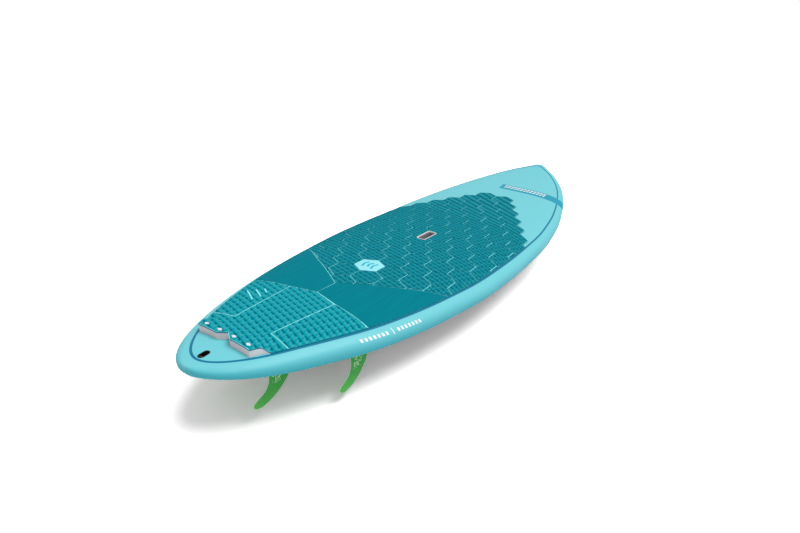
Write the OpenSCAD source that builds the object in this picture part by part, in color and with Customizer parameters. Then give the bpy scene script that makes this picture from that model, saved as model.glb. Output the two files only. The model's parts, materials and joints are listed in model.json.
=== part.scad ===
// Stand up paddleboard with a quad fin set, a recessed carry handle and a sectioned foam deck pad.
// Origin: mid-length, on the centreline, at the lowest point of the bottom.
// +X runs to the nose, +Y to port, +Z up.

/* [Board] */
// Overall length, tail to nose
board_l = 2642; // [2500:2:2800]
// Overall width
board_w = 813; // [780:1:840]
// Thickness at mid-length
board_t = 122; // [116:1:128]
// Thickness of the laminated skins
skin_t = 3; // [2:0.5:4]
// Thickness of the wooden stringer
stringer_t = 4; // [3:0.5:6]
// Height of the rail's widest line, as a share of the thickness
rail_share = 0.3; // [0.25:0.01:0.4]
// Fullness of the section above the rail line
deck_full = 2.95; // [2.6:0.05:3.2]
// Fullness of the section below the rail line
tuck_full = 2.1; // [2:0.05:2.4]
// Flat part of the bottom, as a share of the half-width
flat_share = 0.4; // [0.3:0.05:0.5]

/* [Deck pad] */
// Thickness of the foam pad
pad_t = 5; // [4:0.5:7]
// Distance from the outline to the painted pinline and the pad's edge
pin_inset = 39; // [34:1:46]
// Side of one hexagon of the pad's pattern
hex_side = 58.2; // [56:0.1:60]
// Centre of the emblem's hexagon, forward of mid-length
hex_x = -532; // [-540:1:-520]
// Height of the kick at the tail end of the pad
kick_h = 20; // [12:1:24]
// Tail end of the pad
pad_rear_x = -1195; // [-1200:1:-1190]

/* [Carry handle] */
// Centre of the handle, forward of mid-length
handle_x = -115; // [-130:1:-100]
// Length of the opening
handle_l = 104; // [96:1:112]
// Width of the opening
handle_w = 36; // [32:1:40]
// Depth of the recess below the rim
handle_depth = 46; // [40:1:52]
// Width of the finger pocket under the deck
pocket_w = 58; // [50:1:64]
// Wall of the moulded handle well
well_wall = 4; // [3:0.5:5]

/* [Leash plug] */
// Centre of the leash plug, forward of mid-length
leash_x = -1258; // [-1262:1:-1250]
// Length of the leash slot
leash_l = 30; // [26:1:34]
// Width of the leash slot
leash_w = 15; // [13:1:18]
// Depth of the leash slot
leash_depth = 18; // [14:1:20]
// Diameter of the leash bar
leash_bar_d = 5; // [4:0.5:6]

/* [Fins] */
// Depth of the front fins below the bottom
front_fin_depth = 119; // [105:1:125]
// Depth of the rear fins below the bottom
rear_fin_depth = 118; // [100:1:120]
// Length of a fin's base
fin_base = 104; // [98:1:108]
// Thickness of a fin at its base
fin_t = 6.8; // [6:0.1:7]
// Clearance between a fin's tongue and the slot of its box
fin_gap = 0.15; // [0.1:0.05:0.3]
// Height of the tongue in its slot
tongue_h = 18; // [15:1:20]
// Place of the front fins, forward of mid-length
front_fin_x = -872; // [-880:1:-870]
// Place of the front fins, out from the centreline
front_fin_y = 218; // [212:1:222]
// Toe-in of the front fins, in degrees
front_toe = 3; // [0:0.5:4]
// Outward lean of the front fins, in degrees
front_cant = 6; // [0:1:8]
// Place of the rear fins, forward of mid-length
rear_fin_x = -1088; // [-1092:1:-1080]
// Place of the rear fins, out from the centreline
rear_fin_y = 100; // [92:1:106]
// Toe-in of the rear fins, in degrees
rear_toe = 2; // [0:0.5:4]
// Outward lean of the rear fins, in degrees
rear_cant = 4; // [0:1:8]

/* [Fasteners] */
// Diameter of a fin's grub screw
grub_d = 5; // [4:0.5:6]
// Length of a fin's grub screw
grub_l = 9; // [8:0.5:10]
// Diameter of the vent screw's head
vent_head_d = 12; // [10:0.5:13]
// Diameter of the vent screw's shank
vent_shank_d = 6; // [5:0.5:7]
// Radial clearance of the turning screws
run_gap = 0.05; // [0.02:0.01:0.1]

/* [Hidden] */
$fn = 48;

// Shaping table, tail to nose: share of the length from the tail, half-width as a share of half
// the board's width, height of the bottom, thickness as a share of the mid-length thickness
shaping = [
    [0.00, 0.000, 86, 0.19],
    [0.05, 0.391, 59, 0.48],
    [0.10, 0.546, 40, 0.69],
    [0.20, 0.768, 16, 0.86],
    [0.30, 0.900, 6, 0.93],
    [0.40, 0.979, 0, 0.985],
    [0.50, 1.000, 0, 1.00],
    [0.60, 0.996, 8.7, 0.974],
    [0.70, 0.940, 27, 0.906],
    [0.80, 0.814, 55.5, 0.803],
    [0.90, 0.592, 102, 0.60],
    [0.95, 0.390, 137, 0.48],
    [0.982, 0.195, 162.3, 0.397],
    [1.00, 0.000, 177, 0.35]];
// Fin template: share of the depth, leading edge and trailing edge as shares of half the base
fin_rows = [
    [0.00, 1.00, -0.96],
    [0.20, 0.95, -0.86],
    [0.40, 0.81, -0.82],
    [0.54, 0.60, -0.94],
    [0.63, 0.40, -1.11],
    [0.69, 0.25, -1.31],
    [0.74, 0.11, -1.53],
    [0.79, -0.05, -1.76],
    [0.83, -0.19, -1.87],
    [0.87, -0.35, -1.91],
    [0.91, -0.54, -1.89],
    [0.95, -0.80, -1.81],
    [0.98, -1.05, -1.69],
    [1.00, -1.36, -1.50]];
rings = 46;        // steps along the board
deck_cols = 16;    // steps across the board above the rail line
tuck_cols = 6;     // steps from a rail to the flat of the bottom
end_half_w = 1.2;  // half-width of the closed tips
slack = 0.1;       // glue line between bonded pieces
core_end = 3;      // steps from each tip to the ends of the core
skin_seam = 0.2;   // gap between the rims of the two skins
core_gap = 0.3;    // glue line between the skins and the core
pad_gap = 0.5;     // glue line under the pads
through = 60;      // overshoot of a cutting block
layer_cols = 32;   // steps across a pad
half_l = board_l / 2;
half_board_w = board_w / 2;
vent_x = handle_x - handle_l / 4;
vent_body_d = 18;
vent_body_h = 12;
vent_head_h = 3;
vent_slot_w = 1.6;
oring_r = 0.8;
membrane_h = 0.5;
membrane_d = 9;
box_wall = 6;
box_depth = 23;
box_inboard = 21;
grub_y = 5.6;      // grub screw's tip, from the fin's centre plane
grub_z = 9;        // grub screw's tip, above the fin's base
grub_x = 26;
grub_tilt = 50;    // lean of the grub screw from the bottom's plane, in degrees
tail_front_x = -820;
smooth_front_x = -729;
kick_front_x = -1093;

// Monotone cubic through column c of table t, with column 0 as the ordinate
function slope(t, c, i) = (t[i + 1][c] - t[i][c]) / (t[i + 1][0] - t[i][0]);
function tangent(t, c, i) =
    i == 0 ? slope(t, c, 0) :
    i == len(t) - 1 ? slope(t, c, i - 1) :
    slope(t, c, i - 1) * slope(t, c, i) <= 0 ? 0 :
    2 / (1 / slope(t, c, i - 1) + 1 / slope(t, c, i));
function row_of(t, u, i = 0) = (i >= len(t) - 2 || u < t[i + 1][0]) ? i : row_of(t, u, i + 1);
function cubic(a, b, ma, mb, h, s) =
    a * (2 * s * s * s - 3 * s * s + 1) + ma * h * (s * s * s - 2 * s * s + s)
    + b * (3 * s * s - 2 * s * s * s) + mb * h * (s * s * s - s * s);
function span(t, c, u, i) = cubic(t[i][c], t[i + 1][c], tangent(t, c, i), tangent(t, c, i + 1),
    t[i + 1][0] - t[i][0], (u - t[i][0]) / (t[i + 1][0] - t[i][0]));
function along(t, c, u) = span(t, c, u, row_of(t, u));

// The half-width is interpolated as its square, which rounds the nose and the tail
width_squares = [for (r = shaping) [r[0], r[1] * r[1]]];
function share(x) = min(1, max(0, x / board_l + 0.5));
function half_w(x) = max(end_half_w, half_board_w * sqrt(max(0, along(width_squares, 1, share(x)))));
function bottom(x) = along(shaping, 2, share(x));
function thick(x) = board_t * along(shaping, 3, share(x));
function rail_z(x) = bottom(x) + rail_share * thick(x);

// Heights at a share s of the half-width
function arch(s, n) = pow(max(0, 1 - pow(min(1, s), n)), 1 / n);
function tuck_share(s) = max(0, (s - flat_share) / (1 - flat_share));
function deck_z(x, y) = rail_z(x) + (1 - rail_share) * thick(x) * arch(abs(y) / half_w(x), deck_full);
function bottom_z(x, y) = rail_z(x)
    - rail_share * thick(x) * arch(tuck_share(abs(y) / half_w(x)), tuck_full);

// Ring positions are closer together at the tips
function ring_x(i) = -half_l * cos(180 * i / rings);
// Surface points of the hull, set inwards by g
function inner_x(i, g) = ring_x(i) * (half_l - g) / half_l;
function inner_y(y, g) = y * (half_board_w - g) / half_board_w;
function inner_z(z, x, g) = z + g - 2 * g * (z - bottom(x)) / thick(x);
function hull_point(i, s, z, g) =
    [inner_x(i, g), inner_y(s * half_w(ring_x(i)), g), inner_z(z, ring_x(i), g)];
function deck_s(a) = sign(cos(a)) * pow(abs(cos(a)), 2 / deck_full);
function deck_h(a) = pow(sin(a), 2 / deck_full);
function deck_point(i, k, g) =
    let (a = 180 * k / deck_cols, x = ring_x(i))
    hull_point(i, deck_s(a), rail_z(x) + (1 - rail_share) * thick(x) * (k == deck_cols ? 0 : deck_h(a)), g);
function tuck_s(a) = flat_share + (1 - flat_share) * pow(max(0, cos(a)), 2 / tuck_full);
function tuck_h(a) = pow(sin(a), 2 / tuck_full);
// Columns of the bottom run from the port rail over the flat to the starboard rail
bottom_cols = 2 * tuck_cols + 2;
function bottom_point(i, k, g) =
    let (x = ring_x(i), m = min(k, bottom_cols - k), a = 90 * min(m, tuck_cols) / tuck_cols)
    hull_point(i, m > tuck_cols ? 0 : sign(bottom_cols / 2 - k) * tuck_s(a),
        rail_z(x) - skin_seam - (rail_share * thick(x) - skin_seam) * tuck_h(a), g);

// Faces of a grid of n by m cells whose points are listed row by row, as mirror-image triangles
function halves(a, b, port) = port ? [[a, b, b + 1], [a, b + 1, a + 1]] : [[a, b, a + 1], [b, b + 1, a + 1]];
function turned(faces) = [for (f = faces) [f[0], f[2], f[1]]];
function cells(n, m, first, flip) = [for (i = [0:n - 1]) for (k = [0:m - 1])
    let (a = first + i * (m + 1) + k, pair = halves(a, a + m + 1, k < m / 2)) each flip ? turned(pair) : pair];
// Closed plate between an upper and a lower grid of the same size
module plate(top, under, n, m) {
    size = (n + 1) * (m + 1);
    sides = [
        for (i = [0:n - 1]) let (a = i * (m + 1), b = a + m + 1) [a, a + size, b + size, b],
        for (i = [0:n - 1]) let (a = i * (m + 1) + m, b = a + m + 1) [a, b, b + size, a + size]];
    ends = [
        for (k = [0:m - 1]) [k, k + 1, k + 1 + size, k + size],
        for (k = [0:m - 1]) let (a = n * (m + 1) + k) [a + 1, a, a + size, a + 1 + size]];
    polyhedron(points = concat(top, under),
        faces = concat(cells(n, m, 0, false), cells(n, m, size, true), sides, ends), convexity = 6);
}
// Closed shell between two hull grids, whose tips are shut by flat caps
module skin(outside, inside, m, upper) {
    n = rings;
    size = (n + 1) * (m + 1);
    last = n * (m + 1);
    rims = [
        for (i = [0:n - 1]) let (a = i * (m + 1), b = a + m + 1) [a, a + size, b + size, b],
        for (i = [0:n - 1]) let (a = i * (m + 1) + m, b = a + m + 1) [a, b, b + size, a + size],
        [0, m, m + size, size],
        [last, last + size, last + m + size, last + m]];
    caps = [
        [for (k = [0:m]) k],
        [for (k = [0:m]) last + m - k],
        [for (k = [0:m]) size + m - k],
        [for (k = [0:m]) last + size + k]];
    faces = concat(cells(n, m, 0, false), cells(n, m, size, true), rims, caps);
    polyhedron(points = concat(outside, inside),
        faces = upper ? faces : [for (f = faces) [for (j = [len(f) - 1:-1:0]) f[j]]], convexity = 6);
}
// The hull as one closed solid, set inwards by g
module hull_solid(g) {
    m = deck_cols + bottom_cols;
    function loop_point(i, k) = k <= deck_cols ? deck_point(i, k, g)
        : bottom_point(i, bottom_cols - (k - deck_cols), g);
    points = [for (i = [0:rings]) for (k = [0:m - 1]) loop_point(i, k)];
    walls = [for (i = [0:rings - 1]) for (k = [0:m - 1])
        let (a = i * m + k, b = i * m + (k + 1) % m) [a, b, b + m, a + m]];
    caps = [[for (k = [0:m - 1]) m - 1 - k], [for (k = [0:m - 1]) rings * m + k]];
    polyhedron(points = points, faces = concat(walls, caps), convexity = 6);
}

// Half-width of the pad, inside the pinline
function edge_slope(x) = (half_w(x + 5) - half_w(x - 5)) / 10;
function pad_half(x) = half_w(x) - (pin_inset + 3) * sqrt(1 + edge_slope(x) * edge_slope(x));
function ease(t) = let (s = min(1, max(0, t))) s * s * (3 - 2 * s);
// Front of the kick's ramp, which is shorter near the rails
function ramp_front(y) = kick_front_x - 54 * ease((abs(y) - 85) / 50);
function ramp_rear(y) = pad_rear_x + 20;
function kick(x, y) = kick_h * ease((ramp_front(y) - x) / (ramp_front(y) - ramp_rear(y)));
// Sheet on the deck over a list of stations, between two heights above the deck
module deck_layer(xs, low, high, raised = false) {
    n = len(xs) - 1;
    function sheet_point(x, k, h) =
        let (y = pad_half(x) * (1 - 2 * k / layer_cols))
        [x, y, deck_z(x, y) + h + (raised ? kick(x, y) : 0)];
    plate([for (x = xs) for (k = [0:layer_cols]) sheet_point(x, k, high)],
        [for (x = xs) for (k = [0:layer_cols]) sheet_point(x, k, low)], n, layer_cols);
}
function evenly(x0, x1, n) = [for (i = [0:n]) x0 + (x1 - x0) * i / n];
// Vertical prism over an outline
module column(outline) {
    translate([0, 0, -through])
        linear_extrude(height = board_t * 2 + 2 * through)
            polygon(outline);
}

// Pad outlines, port side first
function mirrored(half) = concat(half, [for (j = [len(half) - 1:-1:0]) [half[j][0], -half[j][1]]]);
reach = board_w / 2;
tail_front = [[tail_front_x, 0], [tail_front_x - 25, 97], [tail_front_x - 49, 251], [tail_front_x - 72, reach]];
smooth_front = [[smooth_front_x, 0], [-661, 102], [-601, 200], [-509, 332], [-480, reach]];
// Seam between the middle and the side of the tail pad
tail_seam = [[tail_front_x - 25, 97], [kick_front_x, 75], [kick_front_x - 13, 155], [kick_front_x - 20, reach]];
// Corner j of hexagon cell (column c, half-row k)
row_pitch = hex_side * sqrt(3) / 2;
function hex_corner(c, k, j) =
    [hex_x + 1.5 * hex_side * c + hex_side * cos(60 * j), k * row_pitch + hex_side * sin(60 * j)];
// Stepped front edge of the pad: the outer corners of the foremost cells, nose to rail
step_cells = [[13, 1], [12, 2], [11, 3], [10, 4], [9, 5], [8, 6]];
front_steps = concat([hex_corner(13, 1, 5)],
    [for (cell = step_cells) for (j = [0:1]) hex_corner(cell[0], cell[1], j)],
    [[hex_corner(8, 6, 2)[0] - hex_side, reach]]);
function backwards(list) = [for (j = [len(list) - 1:-1:0]) list[j]];

// Rounded upright block, centred on x and y
module slab(l, w, r, h) {
    translate([-l / 2 + r, -w / 2, 0]) cube([l - 2 * r, w, h]);
    translate([-l / 2, -w / 2 + r, 0]) cube([l, w - 2 * r, h]);
    for (x = [-1, 1]) for (y = [-1, 1])
        translate([x * (l / 2 - r), y * (w / 2 - r), 0]) cylinder(h = h, r = r);
}

// Upright block with round ends, centred on x and y
module stadium(l, w, h) {
    linear_extrude(height = h)
        polygon([for (side = [1, -1]) for (a = [-90:15:90])
            [side * ((l - w) / 2 + w / 2 * cos(a)), side * w / 2 * sin(a)]]);
}

// Carry handle
handle_top = deck_z(handle_x, 0) + pad_t + 0.5;
ledge = 14;
module handle_block(gap) {
    translate([handle_x, 0, handle_top - handle_depth / 2])
        slab(handle_l + 2 * well_wall + 2 * gap, handle_w + 2 * well_wall + 2 * gap, 12 + gap,
            handle_depth / 2 + through);
    translate([handle_x, (handle_w - pocket_w) / 2, handle_top - handle_depth - well_wall - gap])
        slab(handle_l + 2 * well_wall + 2 * gap, pocket_w + 2 * well_wall + 2 * gap, 12 + gap,
            handle_depth - ledge + 2 * gap);
}
module handle_hollow() {
    translate([handle_x, 0, handle_top - handle_depth])
        slab(handle_l, handle_w, 8, handle_depth + through);
    translate([handle_x, (handle_w - pocket_w) / 2, handle_top - handle_depth])
        slab(handle_l, pocket_w, 8, handle_depth - ledge - well_wall);
}
vent_z = handle_top - handle_depth - well_wall;
module vent_pocket(gap) {
    translate([vent_x, 0, vent_z - vent_body_h - gap])
        cylinder(h = vent_body_h + well_wall + gap, d = vent_body_d + 2 * gap);
}

// Leash plug
leash_top = deck_z(leash_x, 0);
leash_wall = 3;
function deck_pitch(x) = atan2(deck_z(x - 10, 0) - deck_z(x + 10, 0), 20);
module leash_block(gap) {
    translate([leash_x, 0, leash_top - leash_depth - leash_wall - gap])
        stadium(leash_l + 2 * leash_wall + 2 * gap, leash_w + 2 * leash_wall + 2 * gap, leash_depth + through);
}

// Fins: children are placed with +X forward, +Y inboard and +Z into the board
function bottom_pitch(x, y) = atan2(bottom_z(x - 40, y) - bottom_z(x + 40, y), 80);
module fin_place(front, left) {
    x = front ? front_fin_x : rear_fin_x;
    y = front ? front_fin_y : rear_fin_y;
    mirror([0, left ? 1 : 0, 0])
        translate([x, -y, bottom_z(x, y)])
            rotate([0, 0, front ? front_toe : rear_toe])
                rotate([front ? -front_cant : -rear_cant, 0, 0])
                    rotate([0, bottom_pitch(x, y), 0])
                        children();
}
module box_block(gap) {
    translate([-fin_base / 2 - box_wall - gap, -fin_t / 2 - box_wall - gap, -through / 4])
        cube([fin_base + 2 * box_wall + 2 * gap, fin_t / 2 + box_wall + box_inboard + 2 * gap,
            through / 4 + box_depth + gap]);
}
module grub_axis() {
    translate([grub_x, grub_y, grub_z]) rotate([90 + grub_tilt, 0, 0]) mirror([0, 0, 1]) children();
}
module fin_box(front, left) {
    color("whitesmoke") intersection() {
        fin_place(front, left) difference() {
            box_block(0);
            translate([-fin_base / 2 - fin_gap, -fin_t / 2 - fin_gap, -through])
                cube([fin_base + 2 * fin_gap, fin_t + 2 * fin_gap, through + tongue_h + 2]);
            grub_axis() cylinder(h = through / 2, d = grub_d + 2 * run_gap);
        }
        hull_solid(0);
    }
}
module grub_screw(front, left) {
    color("silver") fin_place(front, left) grub_axis() difference() {
        translate([0, 0, 0.1]) cylinder(h = grub_l, d = grub_d);
        translate([0, 0, grub_l - 3]) cylinder(h = 4, d = grub_d * 0.58, $fn = 6);
    }
}
fin_stations = 16;
fin_profile = 8;
// Half-thickness of the foil at a share q of the chord from the leading edge
function foil(q) = sqrt(max(0, q)) * (1 - q) * 2.1 + 0.09 * q;
module blade(depth) {
    n = fin_stations;
    m = 2 * fin_profile;
    function station(i) = 1 - pow(1 - i / n, 1.6);
    function blade_point(i, k) =
        let (t = station(i), q = (1 - cos(180 * (k <= fin_profile ? k : m - k) / fin_profile)) / 2,
            front_edge = fin_base / 2 * along(fin_rows, 1, t), rear_edge = fin_base / 2 * along(fin_rows, 2, t),
            side = (k <= fin_profile ? 1 : -1) * (k == 0 || k == fin_profile ? 0 : 1),
            half = fin_t / 2 * (1 - 0.62 * t) * min(1, foil(q) / 0.82))
        [front_edge + (rear_edge - front_edge) * q, side * max(0.35, half), -depth * t];
    points = [for (i = [0:n]) for (k = [0:m - 1]) blade_point(i, k)];
    walls = [for (i = [0:n - 1]) for (k = [0:m - 1])
        let (a = i * m + k, b = i * m + (k + 1) % m) [a, b, b + m, a + m]];
    caps = [[for (k = [0:m - 1]) m - 1 - k], [for (k = [0:m - 1]) n * m + k]];
    polyhedron(points = points, faces = concat(walls, caps), convexity = 4);
}
module fin(front, left) {
    color("seagreen") fin_place(front, left) {
        translate([-fin_base / 2, -fin_t / 2, -1]) cube([fin_base, fin_t, tongue_h + 1]);
        translate([0, 0, -0.5]) blade((front ? front_fin_depth : rear_fin_depth) - 0.5);
    }
}

// Sub-parts
module core_cuts() {
    handle_block(slack);
    vent_pocket(slack);
    leash_block(slack);
}
module foam_half(left) {
    g = skin_t + core_gap;
    inner_side = stringer_t / 2 + slack;
    half = deck_cols / 2;
    m = half + tuck_cols + 2;
    n = rings - 2 * core_end;
    function side_point(p) = [p[0], max(inner_side, p[1]), p[2]];
    function loop_point(i, k) = side_point(k <= half ? deck_point(i, k, g) : bottom_point(i, m - k, g));
    points = [for (i = [core_end:rings - core_end]) for (k = [0:m - 1]) loop_point(i, k)];
    walls = [for (i = [0:n - 1]) for (k = [0:m - 1])
        let (a = i * m + k, b = i * m + (k + 1) % m)
        each k < half ? [[a, b, b + m], [a, b + m, a + m]] : [[a, b, a + m], [b, b + m, a + m]]];
    caps = [[for (k = [0:m - 1]) m - 1 - k], [for (k = [0:m - 1]) n * m + k]];
    color("ivory") mirror([0, left ? 0 : 1, 0]) difference() {
        polyhedron(points = points, faces = concat(walls, caps), convexity = 6);
        mirror([0, left ? 0 : 1, 0]) core_cuts();
        for (front = [true, false]) fin_place(front, true) box_block(slack);
    }
}
module foam_core_left() { foam_half(true); }
module foam_core_right() { foam_half(false); }
module stringer() {
    g = skin_t + core_gap;
    top_edge = [for (i = [core_end:rings - core_end]) [inner_x(i, g), deck_z(ring_x(i), 0) - g]];
    low_edge = [for (i = [rings - core_end:-1:core_end]) [inner_x(i, g), bottom(ring_x(i)) + g]];
    color("burlywood") difference() {
        rotate([90, 0, 0]) linear_extrude(height = stringer_t, center = true) polygon(concat(top_edge, low_edge));
        core_cuts();
    }
}
module bottom_skin() {
    color("turquoise") difference() {
        skin([for (i = [0:rings]) for (k = [0:bottom_cols]) bottom_point(i, k, 0)],
            [for (i = [0:rings]) for (k = [0:bottom_cols]) bottom_point(i, k, skin_t)], bottom_cols, false);
        for (front = [true, false]) for (left = [true, false]) fin_place(front, left) box_block(slack);
    }
}
module deck_skin() {
    color("paleturquoise") difference() {
        skin([for (i = [0:rings]) for (k = [0:deck_cols]) deck_point(i, k, 0)],
            [for (i = [0:rings]) for (k = [0:deck_cols]) deck_point(i, k, skin_t)], deck_cols, true);
        handle_block(slack);
        leash_block(slack);
    }
}
module handle_well() {
    color("gainsboro") difference() {
        intersection() {
            handle_block(0);
            translate([handle_x - board_w / 2, -board_w / 2, handle_top - board_t]) cube([board_w, board_w, board_t]);
        }
        handle_hollow();
        vent_pocket(slack);
    }
}
module vent_housing() {
    color("dimgray") translate([vent_x, 0, vent_z - vent_body_h]) difference() {
        cylinder(h = vent_body_h + well_wall, d = vent_body_d);
        translate([0, 0, -1]) cylinder(h = vent_body_h + well_wall + 2, d = vent_shank_d + 2 * run_gap);
        translate([0, 0, vent_body_h + well_wall - vent_head_h - 2 * oring_r])
            cylinder(h = through, d = vent_head_d + 2 * run_gap);
        translate([0, 0, -1]) cylinder(h = 2, d = membrane_d);
    }
}
vent_seat_z = vent_z + well_wall - vent_head_h - 2 * oring_r;
module vent_screw() {
    color("gray") translate([vent_x, 0, vent_seat_z]) difference() {
        union() {
            translate([0, 0, 2 * oring_r + 0.02]) cylinder(h = vent_head_h, d = vent_head_d);
            translate([0, 0, -7]) cylinder(h = 9, d = vent_shank_d);
        }
        translate([-vent_head_d, -vent_slot_w / 2, 2 * oring_r + vent_head_h - 1.2])
            cube([2 * vent_head_d, vent_slot_w, 3]);
    }
}
module vent_oring() {
    color("black") translate([vent_x, 0, vent_seat_z + oring_r + 0.01])
        rotate_extrude() translate([vent_head_d / 2 - oring_r - 0.4, 0]) circle(r = oring_r);
}
module vent_membrane() {
    color("white") translate([vent_x, 0, vent_z - vent_body_h])
        cylinder(h = membrane_h, d = membrane_d - 2 * run_gap);
}
module leash_cup() {
    color("black") difference() {
        intersection() {
            leash_block(0);
            translate([leash_x, 0, leash_top]) rotate([0, deck_pitch(leash_x), 0])
                translate([-leash_l, -leash_l, -through]) cube([2 * leash_l, 2 * leash_l, through]);
        }
        translate([leash_x, 0, leash_top - leash_depth]) stadium(leash_l, leash_w, through);
        leash_bar_shape(run_gap);
    }
}
module leash_bar_shape(gap) {
    translate([leash_x - leash_l / 6, 0, leash_top - leash_bar_d - 3])
        rotate([90, 0, 0]) cylinder(h = leash_w + 2 * leash_wall - 2 + 2 * gap, d = leash_bar_d + 2 * gap, center = true);
}
module leash_bar() { color("silver") leash_bar_shape(0); }
module front_pad() {
    color("darkcyan") difference() {
        intersection() {
            deck_layer(evenly(smooth_front_x, 664, 20), pad_gap, pad_t);
            column(concat(backwards(front_steps), [for (p = front_steps) [p[0], -p[1]]],
                [for (p = backwards(smooth_front)) [p[0], -p[1]]],
                [for (p = smooth_front) if (p[1] > 0) p]));
        }
        column([for (j = [0:5]) hex_corner(0, 0, j)]);
        handle_block(slack);
    }
}
module emblem_inlay() {
    inset = 0.6;
    color("paleturquoise") intersection() {
        deck_layer(evenly(hex_x - 1.2 * hex_side, hex_x + 1.2 * hex_side, 4), pad_gap, pad_t);
        column([for (j = [0:5]) [hex_x + (hex_side - inset) * cos(60 * j), (hex_side - inset) * sin(60 * j)]]);
    }
}
module smooth_panel(left) {
    half = concat(smooth_front, backwards(tail_front));
    color("teal") intersection() {
        deck_layer(evenly(tail_front_x - 72, -500, 7), pad_gap, pad_t);
        column([for (p = half) [p[0], (left ? 1 : -1) * max(0.5, p[1])]]);
    }
}
module smooth_panel_left() { smooth_panel(true); }
module smooth_panel_right() { smooth_panel(false); }
// V-shaped notch and drain diamonds of the kick
kick_notch = [[pad_rear_x - 5, 27], [pad_rear_x + 18, 6], [pad_rear_x + 18, -6], [pad_rear_x - 5, -27]];
drain_x = pad_rear_x + 14;
module drains() {
    for (y = [-84, -29, 29, 84]) column([[drain_x - 6, y], [drain_x, y - 10], [drain_x + 6, y], [drain_x, y + 10]]);
}
tail_stations = concat(evenly(pad_rear_x, kick_front_x, 10), evenly(kick_front_x + 45, tail_front_x, 5));
module tail_layer() { deck_layer(tail_stations, pad_gap, pad_t, true); }
module tail_pad_centre() {
    inner = [tail_front[0], tail_front[1], tail_seam[1], tail_seam[2], tail_seam[3], [pad_rear_x - 5, reach]];
    color("darkcyan") difference() {
        intersection() {
            tail_layer();
            column(mirrored(inner));
        }
        column(kick_notch);
        drains();
    }
}
module tail_pad_side(left) {
    side = concat([for (j = [1:3]) tail_front[j]], backwards(tail_seam));
    color("darkcyan") intersection() {
        tail_layer();
        column([for (p = side) [p[0], (left ? 1 : -1) * p[1]]]);
    }
}
module tail_pad_left() { tail_pad_side(true); }
module tail_pad_right() { tail_pad_side(false); }
riser_steps = 8;
riser_cols = 32;
riser_edge = 12;   // distance from the ramp's front to the riser's thin edge
riser_drop = 0.8;  // glue line between the riser and the pad
riser_half = 150;  // half-width over which the front edge of the riser follows the ramp
function notch(y) = 18 * min(1, max(0, (22 - abs(y)) / 16));
module kick_riser() {
    function riser_point(i, k, top) =
        let (f = 1 - 2 * k / riser_cols, front = ramp_front(f * riser_half) - riser_edge,
            rear = pad_rear_x + notch(f * pad_half(pad_rear_x)),
            x = rear + (front - rear) * i / riser_steps, y = f * pad_half(x))
        [x, y, deck_z(x, y) + slack + (top ? kick(x, y) - riser_drop : 0)];
    color("lightgray")
        plate([for (i = [0:riser_steps]) for (k = [0:riser_cols]) riser_point(i, k, true)],
            [for (i = [0:riser_steps]) for (k = [0:riser_cols]) riser_point(i, k, false)],
            riser_steps, riser_cols);
}

foam_core_left();
foam_core_right();
stringer();
bottom_skin();
deck_skin();
handle_well();
vent_housing();
vent_screw();
vent_oring();
vent_membrane();
leash_cup();
leash_bar();
front_pad();
emblem_inlay();
smooth_panel_left();
smooth_panel_right();
tail_pad_centre();
tail_pad_left();
tail_pad_right();
kick_riser();
fin_box(true, true);  // front_left_fin_box
fin_box(true, false);  // front_right_fin_box
fin_box(false, true);  // rear_left_fin_box
fin_box(false, false);  // rear_right_fin_box
fin(true, true);  // front_left_fin
fin(true, false);  // front_right_fin
fin(false, true);  // rear_left_fin
fin(false, false);  // rear_right_fin
grub_screw(true, true);  // front_left_fin_screw
grub_screw(true, false);  // front_right_fin_screw
grub_screw(false, true);  // rear_left_fin_screw
grub_screw(false, false);  // rear_right_fin_screw
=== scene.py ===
import json
import math

import bmesh
import bpy
import numpy as np
from mathutils import Matrix, Vector
from mathutils.geometry import delaunay_2d_cdt

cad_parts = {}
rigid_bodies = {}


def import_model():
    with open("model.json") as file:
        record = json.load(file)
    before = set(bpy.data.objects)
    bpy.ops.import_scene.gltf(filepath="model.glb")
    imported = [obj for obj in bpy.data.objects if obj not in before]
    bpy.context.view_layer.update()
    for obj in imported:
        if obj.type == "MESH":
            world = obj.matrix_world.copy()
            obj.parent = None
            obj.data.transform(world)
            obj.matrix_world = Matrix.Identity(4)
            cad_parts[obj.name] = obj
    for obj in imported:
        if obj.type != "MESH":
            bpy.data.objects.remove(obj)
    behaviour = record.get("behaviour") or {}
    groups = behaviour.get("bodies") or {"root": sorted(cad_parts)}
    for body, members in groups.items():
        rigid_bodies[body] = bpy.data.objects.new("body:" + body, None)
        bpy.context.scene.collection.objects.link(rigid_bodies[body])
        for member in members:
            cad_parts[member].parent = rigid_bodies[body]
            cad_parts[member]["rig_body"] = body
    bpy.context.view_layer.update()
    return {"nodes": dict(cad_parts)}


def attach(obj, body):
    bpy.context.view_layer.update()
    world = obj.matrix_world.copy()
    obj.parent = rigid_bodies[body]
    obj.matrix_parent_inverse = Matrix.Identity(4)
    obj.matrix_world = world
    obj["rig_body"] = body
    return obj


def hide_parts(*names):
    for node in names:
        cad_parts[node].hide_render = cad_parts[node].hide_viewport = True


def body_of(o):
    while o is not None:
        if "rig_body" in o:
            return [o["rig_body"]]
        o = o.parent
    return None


# Stand up paddleboard, dressed on the CAD frame. Lengths in this script are in millimetres and
# are scaled to metres when a mesh is made. +X is the nose, +Y port, +Z up.
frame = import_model()
NODES = frame["nodes"]
MM = 0.001

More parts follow.
